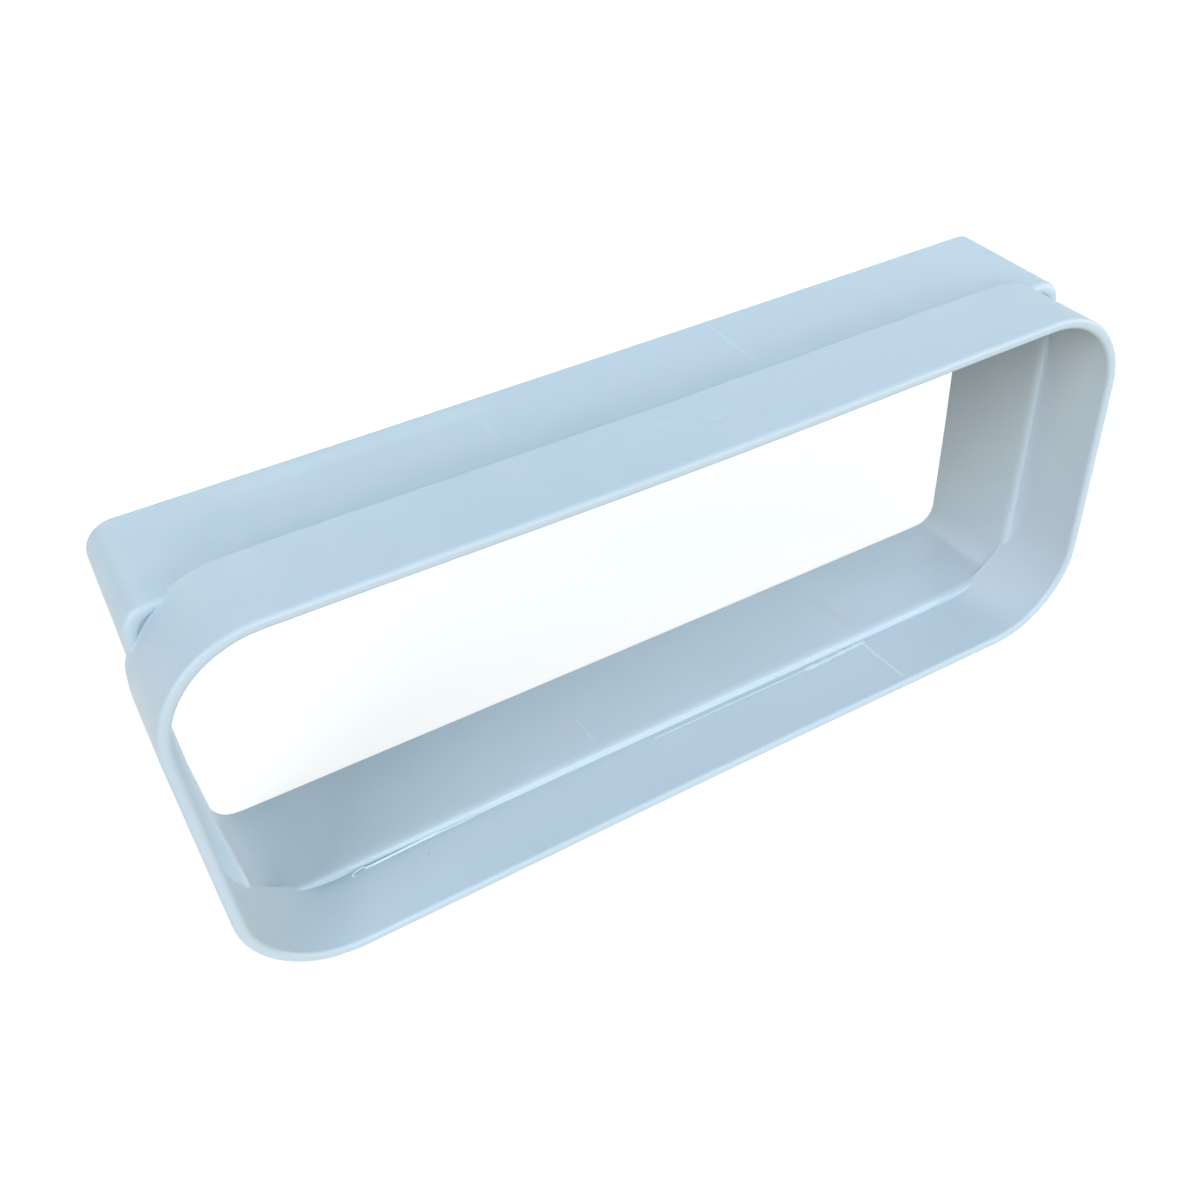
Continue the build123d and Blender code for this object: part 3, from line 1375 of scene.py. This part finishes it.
@dataclass
class MouldedSleeve:
    """The adapter itself: socket, web with its ledge, step and ears, and spigot, in one surface."""

    sizes: SleeveSizes
    warp: MouldWarp
    finish: bpy.types.Material
    marks: tuple[Mark, ...] = MARKS
    nicks: tuple[Nick, ...] = NICKS
    name: str = "moulded_sleeve"

    def surface(self) -> tuple[np.ndarray, np.ndarray]:
        """Points of the surface: foot + distance times ray in the section, station along the duct.

        Returns:
            Array of rows by columns by three coordinates, and the marks' painted highlight and shade at each
            point.
        """
        rays = SectionRays.around(self.sizes, self.marks)
        bands = WallProfile(self.sizes, rays).bands(self.marks)
        stretches = [self.dressed(band, stretch, rays) for band, stretch in bands.items()]
        painted_tones = [self.painted_light_sum(band, stretch, rays) for band, stretch in bands.items()]
        return self.warp.settle(np.concatenate(stretches)), np.concatenate(painted_tones)

    def painted_light_sum(self, band: Band, stretch: np.ndarray, rays: SectionRays) -> np.ndarray:
        """Sum of the marks' painted highlight and shade over one stretch of the profile.

        Args:
            band: Stretch of the profile.
            stretch: Array of 2 (distance, station) by rows by columns.
            rays: Rays of the columns.

        Returns:
            Array of rows by columns.
        """
        depth = stretch[1] - self.sizes.front_y
        tone = np.zeros_like(depth)
        for mark in self.marks:
            if mark.band is band:
                on_side = rays.side == mark.side.value
                tone += np.where(on_side, mark.shade(rays.along[None, :], depth), 0.0)
        return tone

    def dressed(self, band: Band, stretch: np.ndarray, rays: SectionRays) -> np.ndarray:
        """One stretch of the profile in space, with its marks raised and its nicks pushed in.

        Args:
            band: Stretch of the profile.
            stretch: Array of 2 (distance, station) by rows by columns.
            rays: Rays of the columns.

        Returns:
            Array of rows by columns by three coordinates.
        """
        distance, station = stretch
        depth = station - self.sizes.front_y
        for mark in self.marks:
            if mark.band is band:
                on_side = rays.side == mark.side.value
                raised = mark.relief(rays.along[None, :], depth)
                distance = distance + OUTWARD[band] * np.where(on_side, raised, 0.0)
        across = rays.foot[None, :, 0] + distance * rays.ray[None, :, 0]
        up = rays.foot[None, :, 1] + distance * rays.ray[None, :, 1]
        for nick in self.nicks:
            if band in nick.bands:
                station = station + nick.push(across, up)
        return np.stack([across, station, up + self.sizes.centre_z], axis=-1)

    def build(self) -> bpy.types.Object:
        """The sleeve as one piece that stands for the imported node.

        Returns:
            The piece.
        """
        points, painted_tones = self.surface()
        mesh = grid_mesh(self.name, points, capped=False)
        # Painted highlight and shade of the marks, for the material.
        painted_light_layer = mesh.attributes.new(PAINTED_LIGHT_LAYER, "FLOAT", "POINT")
        painted_light_layer.data.foreach_set("value", painted_tones.ravel().astype(np.float32))
        piece = place_piece(self.name, mesh, self.finish)
        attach(piece, BODY)
        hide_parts(BODY_NODE)
        return piece


@dataclass
class LedgeBead:
    """Ragged bead of flash on the socket's floor, a little in front of the ledge."""

    sizes: SleeveSizes
    warp: MouldWarp
    finish: bpy.types.Material
    start_x: float = -6.0 * MM
    thick_x: float = 40.0 * MM
    end_x: float = 60.2 * MM
    gap_to_ledge: float = 1.6 * MM
    close_in: float = 0.55 * MM
    thin_half: float = 0.17 * MM
    thick_half: float = 0.85 * MM
    thin_height: float = 0.14 * MM
    thick_height: float = 0.22 * MM
    sunk: float = 0.06 * MM
    swell: float = 0.4 * MM
    sway: float = 0.25
    end_fade: float = 0.5 * MM
    end_stubs: tuple[float, float] = (0.1 * MM, 0.05 * MM)
    mean_share: float = 0.68
    wave_lengths: tuple[float, float] = (0.7 * MM, 6.0 * MM)
    wave_count: int = 9
    rows: int = 420
    columns: int = 12
    seed: int = 7
    name: str = "ledge_flash_bead"

    def surface(self) -> np.ndarray:
        """Flattened ellipse carried along X, wider past the thick end's start, with a ragged outline.

        Returns:
            Array of rows by columns by three coordinates.
        """
        x = np.linspace(self.start_x, self.end_x, self.rows)
        ragged = self.ragged(x)
        thick = smooth_step(self.thick_x - self.swell, self.thick_x + self.swell, x)
        first_stub, last_stub = self.end_stubs
        ends = np.sqrt(window(self.start_x - first_stub, self.end_x + last_stub, self.end_fade, x))
        half = (self.thin_half + (self.thick_half - self.thin_half) * thick * ragged) * ends
        height = (self.thin_height + (self.thick_height - self.thin_height) * thick * ragged) * ends
        angle = np.linspace(0.0, 2.0 * math.pi, self.columns + 1)[:-1]
        swayed = self.sway * self.thick_half * thick * (ragged - 0.5)
        middle = self.sizes.ledge_y - self.gap_to_ledge + swayed
        middle += self.close_in * smooth_step(self.thick_x, self.end_x, x)
        along = x[:, None] + 0.0 * angle[None, :]
        across = middle[:, None] + half[:, None] * np.cos(angle)[None, :]
        bottom = self.sizes.floor_of_socket - self.sunk
        up = bottom + height[:, None] * (1.0 + np.sin(angle))[None, :] / 2
        return self.warp.settle(np.stack([along, across, up], axis=-1))

    def ragged(self, x: np.ndarray) -> np.ndarray:
        """Uneven factor along the bead, a mean and a soft limit of the sum of seeded sines.

        Args:
            x: Places along the bead.

        Returns:
            Factor between about 0.35 and 1.
        """
        draw = np.random.default_rng(self.seed)
        lengths = draw.uniform(*self.wave_lengths, self.wave_count)
        phases = draw.uniform(0.0, 2.0 * math.pi, self.wave_count)
        waves = np.sin(2.0 * math.pi * x[:, None] / lengths[None, :] + phases[None, :]).sum(axis=1)
        return self.mean_share + (1.0 - self.mean_share) * np.tanh(waves / 2.0)

    def build(self) -> bpy.types.Object:
        """The bead as a piece of its own.

        Returns:
            The piece.
        """
        piece = place_piece(self.name, grid_mesh(self.name, self.surface(), capped=True), self.finish)
        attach(piece, BODY)
        return piece


@dataclass
class FlashThread:
    """Hair of flash along the foot of the ledge, doubled back on itself in a small loop."""

    sizes: SleeveSizes
    warp: MouldWarp
    finish: bpy.types.Material
    tip_x: float = -86.1 * MM
    long_x: float = -54.0 * MM
    short_x: float = -64.0 * MM
    loop_length: float = 3.4 * MM
    loop_half: float = 0.5 * MM
    radius: float = 0.14 * MM
    lift: float = 0.06 * MM
    stand_off: float = 0.85 * MM
    tip_reach: float = 0.4 * MM
    tip_run: float = 4.0 * MM
    settle_run: float = 24.0 * MM
    settle_share: float = 0.8
    touch_share: float = 0.8
    slant: tuple[float, float] = (0.72, 0.69)
    end_stub: float = 0.002
    end_fade: float = 0.03
    rows: int = 401
    columns: int = 8
    name: str = "flash_thread"

    def path(self) -> np.ndarray:
        """Hairpin: the distance from its tip grows both ways, and its two legs bulge apart, then close.

        The legs lie in a plane that slants up and back, and the thread closes up to the ledge.

        Returns:
            Array of points by three coordinates.
        """
        turn = np.linspace(-1.0, 1.0, self.rows)
        legs = np.where(turn < 0.0, self.long_x - self.tip_x, self.short_x - self.tip_x)
        run = legs * turn**2
        share = np.clip(run / self.loop_length, 0.0, 1.0)
        bulge = np.sqrt(np.clip(1.0 - (1.0 - 2.0 * share) ** 2, 0.0, 1.0))
        legs_touch = self.touch_share * self.radius * smooth_step(0.5, 1.0, share)
        apart = np.sign(turn) * (self.loop_half * bulge + legs_touch)
        settled = self.settle_share * self.stand_off * smooth_step(0.0, self.settle_run, run)
        tip = self.tip_reach * (1.0 - smooth_step(0.0, self.tip_run, run))
        x = self.tip_x + run
        y = self.sizes.ledge_y - self.stand_off + settled - tip + self.slant[0] * apart
        z = self.sizes.floor_of_socket + self.radius + self.lift + self.slant[1] * apart
        return np.stack([x, y, z], axis=-1)

    def surface(self) -> np.ndarray:
        """Circle carried along the path on the path's own sideways and upward directions.

        Returns:
            Array of rows by columns by three coordinates.
        """
        path = self.path()
        ahead = np.gradient(path, axis=0)
        ahead /= np.linalg.norm(ahead, axis=1, keepdims=True)
        side = np.cross(ahead, np.array([0.0, -self.slant[1], self.slant[0]]))
        side /= np.linalg.norm(side, axis=1, keepdims=True)
        up = np.cross(side, ahead)
        angle = np.linspace(0.0, 2.0 * math.pi, self.columns + 1)[:-1]
        place = np.linspace(0.0, 1.0, len(path))
        ends = window(-self.end_stub, 1.0 + self.end_stub, self.end_fade, place)
        radius = self.radius * np.sqrt(ends)
        ring = side[:, None, :] * np.cos(angle)[None, :, None] + up[:, None, :] * np.sin(angle)[None, :, None]
        return self.warp.settle(path[:, None, :] + radius[:, None, None] * ring)

    def build(self) -> bpy.types.Object:
        """The thread as a piece of its own.

        Returns:
            The piece.
        """
        piece = place_piece(self.name, grid_mesh(self.name, self.surface(), capped=True), self.finish)
        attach(piece, BODY)
        return piece


@dataclass(frozen=True)
class SoftLamp:
    """One broad lamp of the studio, far away, by the direction it stands in.

    The bearing counts in degrees from straight in front of the socket round to its right. The level is
    the share of a fully lit white face that the lamp alone gives.
    """

    name: str
    bearing: float
    elevation: float
    spread: float
    level: float
    colour: Colour

    def build(self) -> bpy.types.Object:
        """The lamp, turned towards the part.

        Returns:
            The lamp's object.
        """
        lamp = bpy.data.lights.new(self.name, "SUN")
        lamp.energy = math.pi * self.level
        lamp.color = self.colour
        lamp.angle = math.radians(self.spread)
        bearing, elevation = math.radians(self.bearing), math.radians(self.elevation)
        level_run = math.cos(elevation)
        shine = Vector(
            (-math.sin(bearing) * level_run, math.cos(bearing) * level_run, -math.sin(elevation))
        )
        piece = bpy.data.objects.new(self.name, lamp)
        piece.rotation_euler = shine.to_track_quat("-Z", "Y").to_euler()
        bpy.context.scene.collection.objects.link(piece)
        return piece


LAMPS = (
    SoftLamp("key_light", -60.0, 26.0, 40.0, 0.69, (1.0, 0.9, 0.78)),
    SoftLamp("left_top_fill", -60.0, 48.0, 40.0, 0.15, (0.04, 0.44, 1.0)),
    SoftLamp("front_fill", 2.0, 8.0, 14.0, 0.32, (0.93, 0.98, 1.0)),
    SoftLamp("front_top_fill", 16.0, 46.0, 40.0, 0.225, (0.81, 0.96, 1.0)),
    SoftLamp("right_fill", 45.0, 8.0, 14.0, 0.295, (1.0, 0.93, 0.85)),
    SoftLamp("side_fill", 75.0, 8.0, 14.0, 0.24, (1.0, 0.88, 0.64)),
    SoftLamp("right_top_fill", 85.0, 72.0, 40.0, 0.066, (0.04, 0.9, 1.0)),
    SoftLamp("rear_left_fill", -170.0, 35.0, 40.0, 0.196, (0.94, 1.0, 0.93)),
    SoftLamp("rear_right_fill", 146.0, 36.0, 50.0, 0.163, (0.69, 0.82, 1.0)),
)


@dataclass
class Studio:
    """Pale floor, soft light and the camera of the photograph."""

    lamps: tuple[SoftLamp, ...] = LAMPS
    floor_half: float = 6.0
    floor_bounce: Colour = (0.26, 0.18, 0.09)
    floor_white: Colour = (0.45, 0.45, 0.45)
    floor_glow: float = 0.74
    camera_place: Place = (-110.908 * MM, -199.203 * MM, 229.403 * MM)
    camera_heading: float = 28.014
    camera_dip: float = 42.535
    camera_roll: float = -3.533
    near_clip: float = 10.0 * MM
    sensor: float = 36.0
    lens: float = 37.7588
    shift: tuple[float, float] = (-0.03333, 0.05255)

    def build_floor(self) -> bpy.types.Object:
        """Level floor under the part, white to the eye and a warm mid tone to bounced light.

        Returns:
            The floor, marked as stage.
        """
        corners = self.floor_half * np.array([[-1, -1, 0], [1, -1, 0], [1, 1, 0], [-1, 1, 0]])
        mesh = bpy.data.meshes.new("floor")
        # The floor.
        mesh.from_pydata(corners, [], [(0, 1, 2, 3)])
        floor = place_piece("floor", mesh, self.floor_material())
        return floor

    def floor_material(self) -> bpy.types.Material:
        """Diffuse floor with a glow that only the eye, mirrors and glass see.

        Returns:
            The material.
        """
        material = bpy.data.materials.new("pale_floor")
        material.use_nodes = True
        tree = material.node_tree
        tree.nodes.clear()
        seen = tree.nodes.new("ShaderNodeBsdfDiffuse")
        seen.inputs["Color"].default_value = (*self.floor_white, 1.0)
        glow = tree.nodes.new("ShaderNodeEmission")
        glow.inputs["Strength"].default_value = self.floor_glow
        both = tree.nodes.new("ShaderNodeAddShader")
        tree.links.new(seen.outputs["BSDF"], both.inputs[0])
        tree.links.new(glow.outputs["Emission"], both.inputs[1])
        bounce = tree.nodes.new("ShaderNodeBsdfDiffuse")
        bounce.inputs["Color"].default_value = (*self.floor_bounce, 1.0)
        choose = tree.nodes.new("ShaderNodeMixShader")
        tree.links.new(self.seen_by_eye(tree), choose.inputs["Fac"])
        tree.links.new(bounce.outputs["BSDF"], choose.inputs[1])
        tree.links.new(both.outputs["Shader"], choose.inputs[2])
        out = tree.nodes.new("ShaderNodeOutputMaterial")
        tree.links.new(choose.outputs["Shader"], out.inputs["Surface"])
        return material

    @staticmethod
    def seen_by_eye(tree: bpy.types.NodeTree) -> bpy.types.NodeSocket:
        """Value that is 1 on camera, glossy and transmission rays, and 0 on all others.

        Args:
            tree: Node tree of the floor or the world.

        Returns:
            Socket of the value.
        """
        path = tree.nodes.new("ShaderNodeLightPath")
        either = tree.nodes.new("ShaderNodeMath")
        either.operation = "MAXIMUM"
        tree.links.new(path.outputs["Is Camera Ray"], either.inputs[0])
        tree.links.new(path.outputs["Is Glossy Ray"], either.inputs[1])
        every = tree.nodes.new("ShaderNodeMath")
        every.operation = "MAXIMUM"
        tree.links.new(either.outputs[0], every.inputs[0])
        tree.links.new(path.outputs["Is Transmission Ray"], every.inputs[1])
        return every.outputs[0]

    def build_world(self) -> None:
        """White surroundings to the eye, and dark ones to bounced light, which the lamps give."""
        world = bpy.data.worlds.new("studio")
        bpy.context.scene.world = world
        world.use_nodes = True
        tree = world.node_tree
        white = tree.nodes["Background"]
        white.inputs["Color"].default_value = (1.0, 1.0, 1.0, 1.0)
        tree.links.new(self.seen_by_eye(tree), white.inputs["Strength"])

    def build_camera(self) -> bpy.types.Object:
        """Camera at the photograph's place, turned by its heading, its dip and its roll.

        Returns:
            The camera.
        """
        data = bpy.data.cameras.new("photo_camera")
        data.sensor_width = self.sensor
        data.lens = self.lens
        data.shift_x, data.shift_y = self.shift
        data.clip_start = self.near_clip
        camera = bpy.data.objects.new("photo_camera", data)
        heading = Matrix.Rotation(math.radians(-self.camera_heading), 4, "Z")
        dip = Matrix.Rotation(math.radians(90.0 - self.camera_dip), 4, "X")
        roll = Matrix.Rotation(math.radians(self.camera_roll), 4, "Z")
        camera.matrix_world = Matrix.Translation(self.camera_place) @ heading @ dip @ roll
        bpy.context.scene.collection.objects.link(camera)
        bpy.context.scene.camera = camera
        return camera

    def build(self) -> None:
        """All of the studio, with plain view settings."""
        bpy.context.scene.view_settings.view_transform = "Standard"
        self.build_floor()
        self.build_world()
        for lamp in self.lamps:
            lamp.build()
        self.build_camera()


def main() -> None:
    """Builds the studio, the sleeve and its flash, and reports each piece."""
    logging.basicConfig(level=logging.INFO, format="%(name)s: %(message)s")
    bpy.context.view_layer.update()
    sizes = SleeveSizes.from_node(BODY_NODE)
    groups = EffectGroups.build()
    sleeve_plastic = SLEEVE_PLASTIC.build(groups)
    flash_plastic = FLASH_PLASTIC.build(groups)
    Studio().build()
    warp = MouldWarp(sizes)
    pieces = (
        MouldedSleeve(sizes, warp, sleeve_plastic).build(),
        LedgeBead(sizes, warp, flash_plastic).build(),
        FlashThread(sizes, warp, flash_plastic).build(),
    )
    for piece in pieces:
        LOG.info("%s: %d faces", piece.name, len(piece.data.polygons))


if __name__ == "__main__":
    main()
